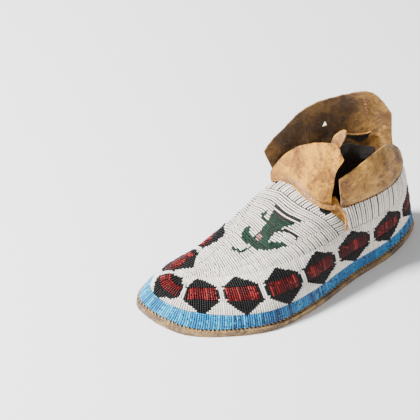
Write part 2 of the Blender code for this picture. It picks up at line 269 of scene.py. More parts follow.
def plain(name, colour, rough, coat, shine=0.5):
    """Material of one even colour, for one tint of glass beads or the floor."""
    return new_material(name, {"Base Color": (*colour, 1), "Roughness": rough, "Specular IOR Level": shine,
                               "Coat Weight": coat, "Coat Roughness": 0.08})[0]


def tints(name, rough, coat, shine, *colours):
    """One bead colour as several close tints; the beads' variation comes from them."""
    return [plain(f"{name}_{k}", colour, rough, coat, shine) for k, colour in enumerate(colours)]


BEADS = {
    "white": tints("bead_white", 0.3, 0.3, 0.5, (0.86, 0.80, 0.71), (0.80, 0.75, 0.67), (0.90, 0.85, 0.78),
                   (0.74, 0.68, 0.60), (0.84, 0.76, 0.70)),
    "blue": tints("bead_blue", 0.3, 0.1, 0.5, (0.003, 0.125, 0.32), (0.006, 0.180, 0.41),
                  (0.002, 0.085, 0.25), (0.012, 0.25, 0.50), (0.002, 0.03, 0.10)),
    "sky": tints("bead_sky", 0.3, 0.1, 0.5, (0.004, 0.24, 0.47), (0.008, 0.33, 0.60), (0.003, 0.16, 0.38),
                 (0.04, 0.48, 0.76)),
    # the palest red tint paints the pinkish highlight streaks along the red strings
    "red": tints("bead_red", 0.34, 0.0, 0.25, (0.055, 0.002, 0.003), (0.080, 0.003, 0.004),
                 (0.030, 0.0015, 0.002), (0.125, 0.005, 0.006), (0.24, 0.022, 0.020)),
    "black": tints("bead_black", 0.5, 0.0, 0.3, (0.002, 0.002, 0.0025), (0.004, 0.0035, 0.0035)),
    "green": tints("bead_green", 0.38, 0.0, 0.2, (0.003, 0.032, 0.018), (0.002, 0.020, 0.011),
                   (0.005, 0.048, 0.028)),
    "pink": tints("bead_pink", 0.22, 0.3, 0.5, (0.50, 0.22, 0.20), (0.12, 0.05, 0.04)),
}
# every bead and thread material, and each bead colour's first index and number of tints
PALETTE = [mat for group in BEADS.values() for mat in group]
FIRST = {name: (PALETTE.index(group[0]), len(group)) for name, group in BEADS.items()}


def link(nt, a, b):
    nt.links.new(a, b)


def mix_node(nt, blend):
    node = nt.nodes.new("ShaderNodeMix")
    node.data_type = 'RGBA'
    node.blend_type = blend
    return node


def range_node(nt, low, high):
    """Node that maps low to 0 and high to 1."""
    node = nt.nodes.new("ShaderNodeMapRange")
    settings(node, {"From Min": low, "From Max": high})
    return node


def hide_material(name, dark, mid, light, stain=0.5, bump=0.25, rough=0.85, scale=1.0):
    """Smoked hide: mottled by two sizes of noise, with darker stains, a fine nap and small dents."""
    mat, nt, shader = new_material(name, {"Roughness": rough, "Sheen Weight": 0.25})
    coords = nt.nodes.new("ShaderNodeTexCoord")

    def noise_node(size, detail, distortion=0.0):
        node = nt.nodes.new("ShaderNodeTexNoise")
        settings(node, {"Scale": size * scale, "Detail": detail, "Roughness": 0.6,
                        "Distortion": distortion})
        link(nt, coords.outputs["Object"], node.inputs["Vector"])
        return node

    broad = noise_node(34, 3, 0.8)
    medium = noise_node(120, 5, 1.2)
    fine = noise_node(330, 6)
    grain = noise_node(1500, 3)

    def weighted(a, b, share):
        node = nt.nodes.new("ShaderNodeMath")
        node.operation = 'MULTIPLY_ADD'
        node.inputs[1].default_value = share
        link(nt, a, node.inputs[0])
        link(nt, b, node.inputs[2])
        return node.outputs[0]

    ramp = nt.nodes.new("ShaderNodeValToRGB")
    stops = ramp.color_ramp.elements
    stops[0].position = 0.72
    stops[0].color = (*dark, 1)
    stops[1].position = 1.0
    stops[1].color = (*light, 1)
    middle = stops.new(0.86)
    middle.color = (*mid, 1)
    link(nt, weighted(medium.outputs["Fac"], broad.outputs["Fac"], 0.75), ramp.inputs["Fac"])
    spots = range_node(nt, 0.53, 0.70)
    spots.inputs["To Max"].default_value = stain
    link(nt, fine.outputs["Fac"], spots.inputs["Value"])
    mix = mix_node(nt, 'MULTIPLY')
    mix.inputs["B"].default_value = (0.50, 0.33, 0.18, 1)
    link(nt, spots.outputs["Result"], mix.inputs["Factor"])
    link(nt, ramp.outputs["Color"], mix.inputs["A"])
    link(nt, mix.outputs["Result"], shader.inputs["Base Color"])
    height = weighted(grain.outputs["Fac"], weighted(fine.outputs["Fac"], medium.outputs["Fac"], 0.5), 0.15)
    dent = nt.nodes.new("ShaderNodeBump")
    settings(dent, {"Strength": bump, "Distance": 0.0022})
    link(nt, height, dent.inputs["Height"])
    link(nt, dent.outputs["Normal"], shader.inputs["Normal"])
    return mat


TONGUE_HIDE = hide_material("hide_tongue", (0.17, 0.060, 0.004), (0.36, 0.150, 0.008), (0.58, 0.262, 0.014),
                            stain=1.0, bump=0.9)
FLAP_HIDE = hide_material("hide_flap", (0.165, 0.066, 0.008), (0.34, 0.158, 0.020), (0.53, 0.268, 0.040),
                          stain=1.0, bump=0.9)
MEND_THREAD = hide_material("mend_thread", (0.10, 0.025, 0.010), (0.18, 0.045, 0.018), (0.30, 0.10, 0.04),
                            stain=0.2, bump=0.15, rough=0.6, scale=3)
# inner cuff hide: its own brown, darkened with painted shade for the inner flap's shaded face; made paler
# towards the heel below as painted light
CUFF_HIDE_PAINTED_LIGHT = hide_material("hide_cuff", (0.070, 0.030, 0.006), (0.115, 0.053, 0.010), (0.19, 0.092, 0.018),
                          stain=0.45, bump=0.7)
# near-black hide for the sheets of painted shade and painted shadow inside the inner cuff
PAINTED_SHADE_HIDE = hide_material("hide_dark", (0.004, 0.003, 0.002), (0.008, 0.005, 0.003),
                            (0.014, 0.009, 0.006))
# upper hide: partly its own smoked brown, mostly painted shade, near black so the gaps between the beads
# and the shoe's inside read dark
UPPER_HIDE_AND_PAINTED_SHADE = hide_material("hide_upper", (0.012, 0.008, 0.005), (0.02, 0.013, 0.008), (0.035, 0.023, 0.013),
                           stain=0.6)
SOLE_HIDE = hide_material("rawhide_sole", (0.09, 0.042, 0.010), (0.21, 0.108, 0.026), (0.40, 0.232, 0.066),
                          stain=1.0, bump=1.0, rough=0.75, scale=1.8)
SINEW = hide_material("sinew_thread", (0.30, 0.19, 0.09), (0.42, 0.29, 0.15), (0.55, 0.40, 0.24),
                      stain=0.2, bump=0.15, rough=0.55, scale=3)
PALETTE += [SINEW, MEND_THREAD]


def paint_light_towards_heel(mat):
    """Painted light and shade: makes the hide about three times as pale towards the heel, where the cuff's
    inside is lit, and leaves its front dark.
    """
    nt = mat.node_tree
    shader = nt.nodes["Principled BSDF"]
    colour = shader.inputs["Base Color"].links[0].from_socket
    coords = nt.nodes.new("ShaderNodeTexCoord")
    split = nt.nodes.new("ShaderNodeSeparateXYZ")
    share = range_node(nt, 0.070, 0.104)
    share.interpolation_type = 'SMOOTHSTEP'
    pale = mix_node(nt, 'MULTIPLY')
    pale.clamp_result = False
    settings(pale, {"Factor": 1.0, "B": (3.1, 3.3, 3.3, 1)})
    mix = mix_node(nt, 'MIX')
    link(nt, coords.outputs["Object"], split.inputs[0])
    link(nt, split.outputs["Y"], share.inputs["Value"])
    link(nt, share.outputs["Result"], mix.inputs["Factor"])
    link(nt, colour, pale.inputs["A"])
    link(nt, colour, mix.inputs["A"])
    link(nt, pale.outputs["Result"], mix.inputs["B"])
    link(nt, mix.outputs["Result"], shader.inputs["Base Color"])


# painted light: the inner cuff's hide grows pale towards the heel
paint_light_towards_heel(CUFF_HIDE_PAINTED_LIGHT)


# ---- mesh helpers
def add_object(name, data):
    obj = bpy.data.objects.new(name, data)
    bpy.context.scene.collection.objects.link(obj)
    return obj


def new_object(name, mesh, mats, smooth=True):
    """Object of a mesh with its materials."""
    for mat in mats:
        mesh.materials.append(mat)
    if smooth:
        mesh.shade_smooth()
    return add_object(name, mesh)


def fixed(obj, slot, *nodes):
    """Makes a piece part of the shoe's body, in place of its CAD nodes."""
    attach(obj, ROOT)
    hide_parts(*nodes)


def grid_object(name, grid, closed, mat, thickness, hole=()):
    """Sheet through a [row, step] grid in mm, thickened along its normals (negative is inward)."""
    rows, steps = grid.shape[:2]
    count = rows if closed else rows - 1
    i = np.arange(count)[:, None]
    k = np.arange(steps - 1)[None, :]
    j = (i + 1) % rows
    corners = [i * steps + k + 1, j * steps + k + 1, j * steps + k, i * steps + k]
    gone = {r * (steps - 1) + c for r, c in hole}
    quads = np.stack(corners, -1).reshape(-1, 4).tolist()
    quads = [quad for q, quad in enumerate(quads) if q not in gone]
    mesh = bpy.data.meshes.new(name)
    mesh.from_pydata((grid.reshape(-1, 3) * MM).tolist(), [], quads)
    obj = new_object(name, mesh, [mat])
    thick = obj.modifiers.new("thickness", 'SOLIDIFY')
    thick.thickness = abs(thickness) * MM
    thick.offset = 1.0 if thickness > 0 else -1.0
    return apply_modifiers(obj)


def apply_modifiers(obj):
    """Puts the modifiers' result in the mesh, so that none is left on the object."""
    graph = bpy.context.evaluated_depsgraph_get()
    mesh = bpy.data.meshes.new_from_object(obj.evaluated_get(graph))
    old = obj.data
    obj.modifiers.clear()
    obj.data = mesh
    bpy.data.meshes.remove(old)
    mesh.shade_smooth()
    return obj


def tube_faces(rings, sides):
    """Side faces and the two end caps of a tube whose points go ring by ring."""
    faces = [[q + s, q + (s + 1) % sides, q + sides + (s + 1) % sides, q + sides + s]
             for q in range(0, (rings - 1) * sides, sides) for s in range(sides)]
    return faces, [list(range(sides))[::-1], [(rings - 1) * sides + s for s in range(sides)]]


def bead_template(sides=8):
    """Barrel bead: unit radius, from -0.5 to 0.5 along its hole."""
    rings = [(-0.5, 0.80), (-0.36, 0.97), (0.0, 1.03), (0.36, 0.97), (0.5, 0.80)]
    angle = np.arange(sides) * 2 * math.pi / sides
    verts = np.array([[r * math.cos(a), r * math.sin(a), z] for z, r in rings for a in angle])
    return verts, *tube_faces(len(rings), sides)


BEAD_VERTS, BEAD_FACES, BEAD_CAPS = bead_template()
BEAD_HEIGHT = 0.92
LANE_SLOTS = {"lane_sole_edge": "blue_beads", "lane_band_middle": "red_beads"}


def bead_object(name, centres, axes, outs, lengths, radii, mats):
    """One mesh of many beads. All arrays have one entry per bead, in mm; mats are palette indices."""
    n = len(centres)
    axes = unit(axes)
    outs = outs - axes * np.sum(outs * axes, axis=1, keepdims=True)
    outs /= np.maximum(np.linalg.norm(outs, axis=1, keepdims=True), 1e-9)
    sides = np.cross(axes, outs)
    wide, high, long = BEAD_VERTS.T[:, None, :, None]
    points = (centres[:, None] + sides[:, None] * wide * radii[:, None, None]
              + outs[:, None] * (high * BEAD_HEIGHT) * radii[:, None, None]
              + axes[:, None] * long * lengths[:, None, None])
    sizes = [4] * len(BEAD_FACES) + [len(BEAD_CAPS[0])] * 2
    loops = np.concatenate([np.array(BEAD_FACES).ravel(), np.array(BEAD_CAPS).ravel()])
    starts = np.concatenate([[0], np.cumsum(sizes)[:-1]])
    number = np.arange(n)[:, None]
    corners = (loops + number * len(BEAD_VERTS)).astype(np.int32)
    firsts = (starts + number * len(loops)).astype(np.int32)
    mesh = bpy.data.meshes.new(name)
    mesh.vertices.add(n * len(BEAD_VERTS))
    mesh.loops.add(corners.size)
    mesh.polygons.add(firsts.size)
    mesh.vertices.foreach_set("co", (points * MM).astype(np.float32).ravel())
    mesh.loops.foreach_set("vertex_index", corners.ravel())
    mesh.polygons.foreach_set("loop_start", firsts.ravel())
    used, index = np.unique(mats, return_inverse=True)
    mesh.polygons.foreach_set("material_index", np.repeat(index, len(sizes)).astype(np.int32))
    mesh.update(calc_edges=True)
    return new_object(name, mesh, [PALETTE[int(m)] for m in used])


# how much a colour's first tints are favoured, and how much of a string keeps its leading tint
FIRST_TINTS = 1.4
LEAD_SHARE = 0.72


def pick(colours):
    """Palette index for each bead; a string mostly keeps one leading tint, so the rows read as streaks,
    partly the beads' own tint and partly painted highlight along each string.
    """
    lead = rng.random()**FIRST_TINTS
    out = np.empty(len(colours), int)
    for k, colour in enumerate(colours):
        first, count = FIRST[colour]
        share = lead if rng.random() < LEAD_SHARE else rng.random()**FIRST_TINTS
        out[k] = first + min(int(share * count), count - 1)
    return out


class Strings:
    """Strings of beads gathered for one lane, then made into one object."""

    def __init__(self):
        self.parts = []

    def add(self, path, normals, count, radius, colours, arch):
        """A string of beads along a path in mm, arched off the hide between its tacked ends."""
        arc = arc_lengths(path)
        share = (np.arange(count) + 0.5) / count
        at = share * arc[-1]

        def along(distance, values):
            return np.stack([np.interp(distance, arc, values[:, k]) for k in range(3)], -1)

        place = along(at, path)
        run = along(np.minimum(at + 0.4, arc[-1]), path) - along(np.maximum(at - 0.4, 0), path)
        out = unit(along(at, normals))
        radius *= rng.normal(1, 0.035)
        lift = radius * BEAD_HEIGHT + GAP + abs(rng.normal(0, 0.14)) + arch * np.sin(math.pi * share)
        if callable(colours):
            colours = colours(place)
        wobble = rng.normal(0, 0.035, (count, 3))
        lengths = arc[-1] / count * rng.uniform(0.93, 1.02, count)
        slope = arch * math.pi * np.cos(math.pi * share) / max(arc[-1], 1)
        tilt = run + out * slope[:, None] * 0.8
        radii = radius * rng.uniform(0.95, 1.04, count)
        self.parts.append((place + out * lift[:, None] + wobble, tilt, out, lengths, radii, pick(colours)))

    def build(self, name, *nodes):
        """The lane's object, in place of its CAD nodes."""
        arrays = [np.concatenate([part[k] for part in self.parts]) for k in range(6)]
        fixed(bead_object(name, *arrays), LANE_SLOTS.get(nodes[0], "white_beads"), *nodes)


# distance between strings, and radius of their beads, in mm
ROW_PITCH = 1.95
BAND_RADIUS = 0.88
CROWN_RADIUS = 0.77
RIB_RADIUS = 0.78
RIB_PITCH = 2.35
QUARTER_PITCH = 2.15
BEAD_LENGTH = 1.45


def lane_rows(v, first, last, pitch):
    """Fractional row indices evenly spaced along the hide at level v."""
    i = np.linspace(first, last, int((last - first) * 4) + 1)
    line = sample(HIDE, i, np.full(len(i), v))
    arc = arc_lengths(line)
    count = max(2, int(round(arc[-1] / pitch)))
    return np.interp((np.arange(count) + 0.5) / count * arc[-1], arc, i)


# distance round the shoe at the middle of the band, for the hexagons
loop_index = np.linspace(0, len(ROWS), len(ROWS) * 4 + 1)
loop_line = sample(HIDE, loop_index, np.full(len(loop_index), 2.5))
loop_arc = arc_lengths(loop_line)


def loop_distance(i):
    return np.interp(np.asarray(i) % len(ROWS), loop_index, loop_arc)


# ---- the bead lanes round the foot
STRING_END = 0.012
HEXAGON_HALF = 0.45
LANE_BEADS = 8
# the blue lane is paler towards the toe from about this y
SKY_Y = -62
SKY_SPREAD = 14
# hexagon centres: distance round the band from the outer heel, and the hexagon's number
MOTIF_KEYS = [(-19, -1), (13.7, 0), (53, 1), (92, 2), (128.3, 3), (163.5, 4), (199.8, 5), (230.6, 6),
              (261.5, 7), (loop_arc[-1] - 19, 13), (loop_arc[-1] + 13.7, 14)]


def string_path(i, low, high, steps=9):
    """Hide points and normals up row i, from level low to level high."""
    v = np.linspace(low + STRING_END, high - STRING_END, steps)
    rows = np.full(steps, i)
    return sample(HIDE, rows, v), sample(NORMALS, rows, v)


def bead_count(path, least):
    """How many beads fill a path."""
    return max(least, round(arc_lengths(path)[-1] / BEAD_LENGTH))


def band_colours(lane, count, phase):
    """Colours from bottom to top of one string; the hexagons are centred on whole phases."""
    a = abs(phase - round(phase)) / HEXAGON_HALF
    j = (np.arange(count) + 0.5) * LANE_BEADS / count - 0.5
    if lane == 2:
        if a > 1:
            return ["white"] * count
        if a > 0.93:
            return ["black" if abs(k - 3.5) < 3 else "white" for k in j]
        return ["black" if a > 0.82 else "red"] * count
    if lane == 1:
        reach = round(8 * (1 - a) + 0.3)
        return ["black" if 7 - k < reach - 0.01 else "white" for k in j]
    reach = round(7 * (1 - a) + 0.3)
    return ["black" if k < reach - 0.01 else "white" for k in j]


def band_lane(lane, name, node):
    """One lane of strings round the whole shoe."""
    strings = Strings()
    for i in lane_rows(lane + 0.5, 0, len(ROWS), ROW_PITCH):
        path, normals = string_path(i, lane, lane + 1)
        count = bead_count(path, 3)
        if lane == 0:
            colours = ["sky" if sample(HIDE, i, 0.5)[1] < rng.normal(SKY_Y, SKY_SPREAD) else "blue"] * count
        else:
            colours = band_colours(lane, count, np.interp(loop_distance(i), *zip(*MOTIF_KEYS)))
        strings.add(path, normals, count, BAND_RADIUS, colours, 0.5)
    strings.build(name, node)


for lane, place in enumerate(("sole_edge", "band_lower", "band_middle", "band_upper")):
    band_lane(lane, f"beads_{place}", f"lane_{place}")


# ---- the quarter: tall single strings
INNER_END = len(OUTER) + len(TOE) + len(INNER) - QUARTER_ROWS
OUTER_END = len(ROWS) + QUARTER_ROWS - 1


def quarter_lane():
    """Tall white strings from the band up to the cuff, round the heel."""
    strings = Strings()
    rows = lane_rows(4.5, INNER_END, OUTER_END, QUARTER_PITCH)
    for i in rows + rng.normal(0, 0.24, len(rows)):
        path, normals = string_path(i, 4, 4.985, 12)
        count = bead_count(path, 1)
        strings.add(path, normals, count, RIB_RADIUS, ["white"] * count, 0.75)
    strings.build("beads_quarter", "lane_quarter")


quarter_lane()


# ---- the crown: vamp, instep and figure
CROWN_STEPS = 40
CROWN_Y = np.linspace(TOE_Y, 40, 126)
CROWN_SHARE = np.linspace(0, 1, CROWN_STEPS + 1)


def crown_grid(outer):
    """Hide points of one side from the band's top to the ridge line, as [ridge station, share]."""
    grid = []
    for y in CROWN_Y:
        row = side_row(y, outer)
        start = row.level(4)
        grid.append(row.at(start + CROWN_SHARE * (row.length - start)))
    return np.array(grid)


CROWN = {side: crown_grid(side == "outer") for side in ("outer", "inner")}
CROWN_NORMALS = {}
for side, grid in CROWN.items():
    normals = grid_normals(grid, False)
    CROWN_NORMALS[side] = normals * np.sign(normals[:, :, 2:3] + 1e-9)


def crown_point(side, y, share):
    """Hide point and normal of the crown at a ridge station and a share from band top to ridge."""
    r = np.clip(np.interp(y, CROWN_Y, np.arange(len(CROWN_Y))), 0, len(CROWN_Y) - 1.001)
    c = np.clip(np.asarray(share, float) * CROWN_STEPS, 0, CROWN_STEPS - 0.001)
    return [bilinear(grid, r, c) for grid in (CROWN[side], CROWN_NORMALS[side])]


VAMP_END = 7.5
# ridge stations where the instep's short strings start and end, by share up to the ridge
INSTEP_FRONT = {"outer": [(0, 24), (0.06, 23), (0.3, 17), (0.58, 9.5), (1, VAMP_END)],
                "inner": [(0, 22), (0.3, 16), (0.6, 8), (1, VAMP_END)]}
INSTEP_BACK = {"outer": [(0, 35), (0.06, 34), (0.36, 25), (0.65, 20), (1, 19.5)],
               "inner": [(0, 33), (0.41, 30), (0.6, 22), (1, 19.5)]}

# the plain figure on the vamp, as plan outlines in mm; striped strings cross its top
FIGURE_TOP = -1.2
STRIPE = 2.0
CUP = [(-10.5, 1), (1.5, 9), (17.8, 13), (14.6, 1), (11.8, -4.8), (10.8, -11.5), (11.2, -16.1),
       (13, -20), (12, -26), (4.6, -29), (-0.4, -27.1), (0.4, -21.3), (-0.9, -17.7), (-2.6, -12.8),
       (-5.6, -7)]
LEFT_HORN = [(-11.4, -24.8), (-8.4, -25.2), (-6.1, -28.2), (1.4, -27.6), (7.6, -25.1), (9, -29.5),
             (4.9, -31.9), (-1.9, -34.1), (-8.6, -33.8), (-11.8, -31.8), (-12.4, -28)]
RIGHT_HORN = [(5.5, -31), (7.9, -24.4), (14.2, -19.6), (19.4, -13.4), (25.3, -8.1), (23.4, -15.5),
              (20.2, -21.5), (16.3, -26.1), (11.2, -30)]
GREEN_LINES = [[(-1.3, -12.9), (-7.3, -13.7), (-11.4, -12.7), (-9.5, -9.6)],
               [(5.7, -31), (4.2, -40.1), (-0.9, -42.1), (-5.6, -44)]]
BLACK_LINES = [[(10.7, -10.2), (14.8, -5.5), (19.4, -1.9), (24.5, 0)]]
GREEN_HALF_WIDTH = 1.25
BLACK_HALF_WIDTH = 0.85
SPOT = (4.1, -24.1)
SPOT_RADIUS = 2.7


def inside(polygon, x, y):
    """Whether a plan point lies in a polygon."""
    poly = np.array(polygon, float)
    hit = False
    for (xa, ya), (xb, yb) in zip(poly, np.roll(poly, -1, 0)):
        if (ya > y) != (yb > y) and x < (xb - xa) * (y - ya) / (yb - ya) + xa:
            hit = not hit
    return hit


def from_line(points, x, y):
    """Distance of a plan point from a chain of points."""
    best = 1e9
    for (xa, ya), (xb, yb) in zip(points, points[1:]):
        run = np.array([xb - xa, yb - ya])
        rel = np.array([x - xa, y - ya])
        t = np.clip(rel @ run / (run @ run), 0, 1)
        best = min(best, np.linalg.norm(rel - t * run))
    return best


def figure_colour(x, y, station):
    """Colour of one vamp bead: a plain green figure on white, with striped strings across its top."""
    if inside(CUP, x, y):
        stripe = (FIGURE_TOP - station) / STRIPE
        if stripe < 0:
            return "white"
        if stripe < 2.6:
            return "white" if 1 < stripe < 1.8 else "black"
        return "pink" if math.hypot(x - SPOT[0], y - SPOT[1]) < SPOT_RADIUS else "green"
    if inside(LEFT_HORN, x, y) or inside(RIGHT_HORN, x, y):
        return "green"
    if any(from_line(line, x, y) < GREEN_HALF_WIDTH for line in GREEN_LINES):
        return "green"
    return "black" if any(from_line(line, x, y) < BLACK_HALF_WIDTH for line in BLACK_LINES) else "white"


def paint_vamp(station):
    """Function that colours the beads of the vamp string at a ridge station."""
    return lambda points: [figure_colour(x, y, station) for x, y, z in points]


def vamp_weight(y):
    """How much a vamp string leans back with the instep's seam: none at the toe, fully at the seam."""
    return np.clip((y + 50) / (VAMP_END + 50), 0, 1)**1.2


def vamp_points(side, y, share):
    """Hide points and normals of a vamp string of ridge station y, at a share up to the ridge."""
    bend = key_curve(share, INSTEP_FRONT[side]) - VAMP_END
    return crown_point(side, y + vamp_weight(y) * bend, share)


def vamp_stations(lane):
    """Ridge stations of one sub-lane's strings, evenly spaced over its middle and looser near the seam."""
    y = np.linspace(TOE_Y, VAMP_END, 300)
    side, first, last = lane[0]
    share = 1.0 if len(lane) > 1 else (first + last) / 2
    line, _ = vamp_points(side, y, np.full(len(y), share))
    pitch = ROW_PITCH + 0.35 * vamp_weight(y)
    turns = np.concatenate([[0], np.cumsum(np.linalg.norm(np.diff(line, axis=0), axis=1) / pitch[1:])])
    count = round(turns[-1])
    marks = (np.arange(count) + 0.5 + rng.uniform(-0.09, 0.09, count)) / count * turns[-1]
    return np.interp(marks, turns, y)


def vamp_lane():
    """Strings across the foot, in seven sub-lanes; the fifth one crosses the ridge."""
    strings = Strings()
    lanes = [[("outer", 0, 0.2)], [("outer", 0.2, 0.4)], [("outer", 0.4, 0.6)], [("outer", 0.6, 0.8)],
             [("outer", 0.8, 1), ("inner", 1, 0.6)], [("inner", 0.6, 0.3)], [("inner", 0.3, 0)]]
    middle = lanes[2:5]
    for lane in lanes:
        # the middle sub-lanes share one spacing, so the figure's rows stay in line
        for y in vamp_stations(lanes[3] if lane in middle else lane):
            halves = [vamp_points(side, y, np.linspace(first, last, 7)) for side, first, last in lane]
            points = np.vstack([half[0] for half in halves])
            normals = np.vstack([half[1] for half in halves])
            keep = np.concatenate([[True], np.linalg.norm(np.diff(points, axis=0), axis=1) > 1e-3])
            points, normals = points[keep], normals[keep]
            count = bead_count(points, 1)
            strings.add(points, normals, count, CROWN_RADIUS, paint_vamp(y), 0.4 * min(1, count / 5))
    strings.build("beads_vamp", "lane_vamp_centre", "lane_vamp_inner", "lane_vamp_outer_1",
                  "lane_vamp_outer_2")


vamp_lane()

# centres and reach in mm of the two black blocks at the ends of the instep's seam
BLOCKS = [(17.1, 30.5), (-28.4, 10.2)]
BLOCK_REACH = 4.2


def paint_instep(points):
    """White beads with the two black blocks."""
    return ["black" if min(math.hypot(x - bx, y - by) for bx, by in BLOCKS) < BLOCK_REACH else "white"
            for x, y, z in points]


def instep_lane():
    """Short strings along the foot between the vamp and the tongue's seam."""
    strings = Strings()
    for side, first, last in (("outer", 0.0, 1.0), ("inner", 1.0, 0.0)):
        share = np.linspace(first, last, 200)
        station = (key_curve(share, INSTEP_FRONT[side]) + key_curve(share, INSTEP_BACK[side])) / 2
        middle, _ = crown_point(side, station, share)
        arc = arc_lengths(middle)
        count = round(arc[-1] / RIB_PITCH)
        marks = (np.arange(count) + 0.5 + rng.uniform(-0.16, 0.16, count)) / count * arc[-1]
        for s in np.interp(marks, arc, share):
            front = key_curve(s, INSTEP_FRONT[side]) + 0.5
            back = key_curve(s, INSTEP_BACK[side]) - 0.2
            if back - front < 2.5:
                continue
            p, n = crown_point(side, np.linspace(front, back, 7), np.full(7, s))
            strings.add(p, n, bead_count(p, 3), RIB_RADIUS, paint_instep, 0.9)
    strings.build("beads_instep", "lane_instep")


instep_lane()


# ---- hide under the beads
def hide_upper():
    """The upper's one skin of hide, 1.3 mm thick, its smoked brown darkened to near black with painted
    shade.
    """
    fixed(grid_object("hide_upper", HIDE[::2, ::4], True, UPPER_HIDE_AND_PAINTED_SHADE, -1.3), "smoked_hide", "upper")


# a height in mm above the whole shoe
ABOVE = 200


def hide_tree():
    """Search tree of the whole hide, to drop plan points on it."""
    grid = HIDE[:, ::4]
    rows, steps = grid.shape[:2]
    quads = [(i * steps + k, i * steps + k + 1, (i + 1) % rows * steps + k + 1, (i + 1) % rows * steps + k)
             for i in range(rows) for k in range(steps - 1)]
    return BVHTree.FromPolygons(grid.reshape(-1, 3).tolist(), quads)


def toe_fill():
    """Strings in front of the vamp's first ones and parallel to them, from the middle to the band."""
    strings = Strings()
    tree = hide_tree()
    first, last = len(OUTER) - 1, len(OUTER) + len(TOE)
    rim = HIDE[:, BAND_STEP, :2]
    apex = HIDE[first, TOP_STEP, :2]
    tip = rim[first:last][np.argmin(rim[first:last, 1])]
    for row in (first, last):
        curve = HIDE[row, TOP_STEP:BAND_STEP:-1, :2] - apex
        step = ROW_PITCH / abs(unit(curve[-1] - curve[0])[0])
        for y in np.arange(apex[1] - step * 0.6, tip[1], -step):
            start = apex + (tip - apex) * (y - apex[1]) / (tip[1] - apex[1])
            points, normals = [], []
            for plan in start + curve:
                if not inside(rim, *plan):
                    break
                place, normal, _, _ = tree.ray_cast(Vector((*plan, ABOVE)), Vector((0, 0, -1)))
                points.append(place)
                normals.append(normal if normal.z > 0 else -normal)
            if len(points) < 4:
                continue
            points, normals = np.array(points), np.array(normals)
            strings.add(points, normals, bead_count(points, 2), CROWN_RADIUS, paint_vamp(TOE_Y), 0.3)
    strings.build("beads_toe", "lane_toe_fill")


hide_upper()
toe_fill()


def soften(obj, width, segments, degrees):
    """Bevels the edges sharper than an angle, width in mm, and applies all modifiers."""
    bevel = obj.modifiers.new("soft_edge", 'BEVEL')
    bevel.width = width * MM
    bevel.segments = segments
    bevel.limit_method = 'ANGLE'
    bevel.angle_limit = math.radians(degrees)
    apply_modifiers(obj)


# ---- the sole
def sole():
    """The CAD sole with a rounded, worn edge."""
    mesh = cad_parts["sole"].data.copy()
    mesh.materials.clear()
    plate = new_object("rawhide_plate", mesh, [SOLE_HIDE], smooth=False)
    weld = plate.modifiers.new("weld", 'WELD')
    weld.merge_threshold = 1e-5
    soften(plate, 1.5, 3, 50)
    fixed(plate, "rawhide", "sole")


sole()


def thread(name, starts, ends, outs, radius, mat, overlap=1.05):
    """Thread stitches: one short fat capsule from each start to its end."""
    starts, ends = np.array(starts), np.array(ends)
    lengths = np.linalg.norm(ends - starts, axis=1) * overlap
    return bead_object(name, (starts + ends) / 2, ends - starts, np.array(outs, float), lengths,
                       np.full(len(starts), radius), np.full(len(starts), PALETTE.index(mat)))


def sole_stitches():
    """Whip stitches round the sole's edge."""
    starts, ends, outs = [], [], []
    for i in lane_rows(0.0, 0, len(ROWS), 3.4):
        foot = sample(HIDE, i, 0.03)
        out = unit(sample(NORMALS, i, 0.1) * [1, 1, 0])
        along = unit(sample(HIDE, i + 0.4, 0.03) - foot)
        starts.append(foot + out * 2.6 - along * 0.9 - [0, 0, SOLE_GAP + 0.1])
        ends.append(foot + out * 0.3 + along * 0.9 + [0, 0, 0.35])
        outs.append(out + [0, 0, 1])
    fixed(thread("stitches_sole", starts, ends, outs, 0.42, SINEW), "sinew", "sole_seam_sinew")


def cuff_stitches():
    """Whip stitches round the ankle, where the cuff is sewn on."""
    starts, ends, outs = [], [], []
    for i in lane_rows(5.0, INNER_END, OUTER_END, 3.1):
        edge, out = sample(HIDE, i, 4.97), sample(NORMALS, i, 4.9)
        along = sample(HIDE, i + 0.4, 4.97) - edge
        along /= max(np.linalg.norm(along), 1e-6)
        starts.append(edge + out * 0.8 - [0, 0, 1.9] - along * 0.6)
        ends.append(edge + out * 0.6 + [0, 0, 1.2] + along * 0.6)
        outs.append(out)
    fixed(thread("stitches_cuff", starts, ends, outs, 0.36, SINEW), "sinew", "cuff_seam_sinew")


sole_stitches()
cuff_stitches()


# ---- hide sheets: tongue, cuffs, patch
def smooth_grid(control, rows, columns):
    """Smooth surface through a [row, column] control grid of mm points."""
    control = np.array(control, float)

    def resample(points, count):
        m = len(points)
        t = np.linspace(0, m - 1, count)
        k = np.minimum(t.astype(int), m - 2)
        f = (t - k)[:, None, None]
        a, b, c, d = (points[np.clip(k + q, 0, m - 1)] for q in (-1, 0, 1, 2))
        a = np.where((k == 0)[:, None, None], 2 * b - c, a)
        d = np.where((k == m - 2)[:, None, None], 2 * c - b, d)
        return catmull_rom(a, b, c, d, f)

    return resample(resample(control, rows).transpose(1, 0, 2), columns).transpose(1, 0, 2)


def wrinkle(grid, amplitude, size, seed, hold=0.0):
    """Moves a grid along its normals by smooth noise; hold keeps the first rows still."""
    normals = grid_normals(grid, False)
    rise = np.clip(np.linspace(0, 1, len(grid)) / max(hold, 1e-6), 0, 1) if hold else np.ones(len(grid))
    out = grid.copy()
    for r in range(grid.shape[0]):
        for c in range(grid.shape[1]):
            p = Vector(grid[r, c] / size) + Vector((seed, seed * 0.7, 0))
            bump = noise.noise(p) + 0.5 * noise.noise(p * 2.3)
            out[r, c] += normals[r, c] * bump * amplitude * rise[r]
    return out


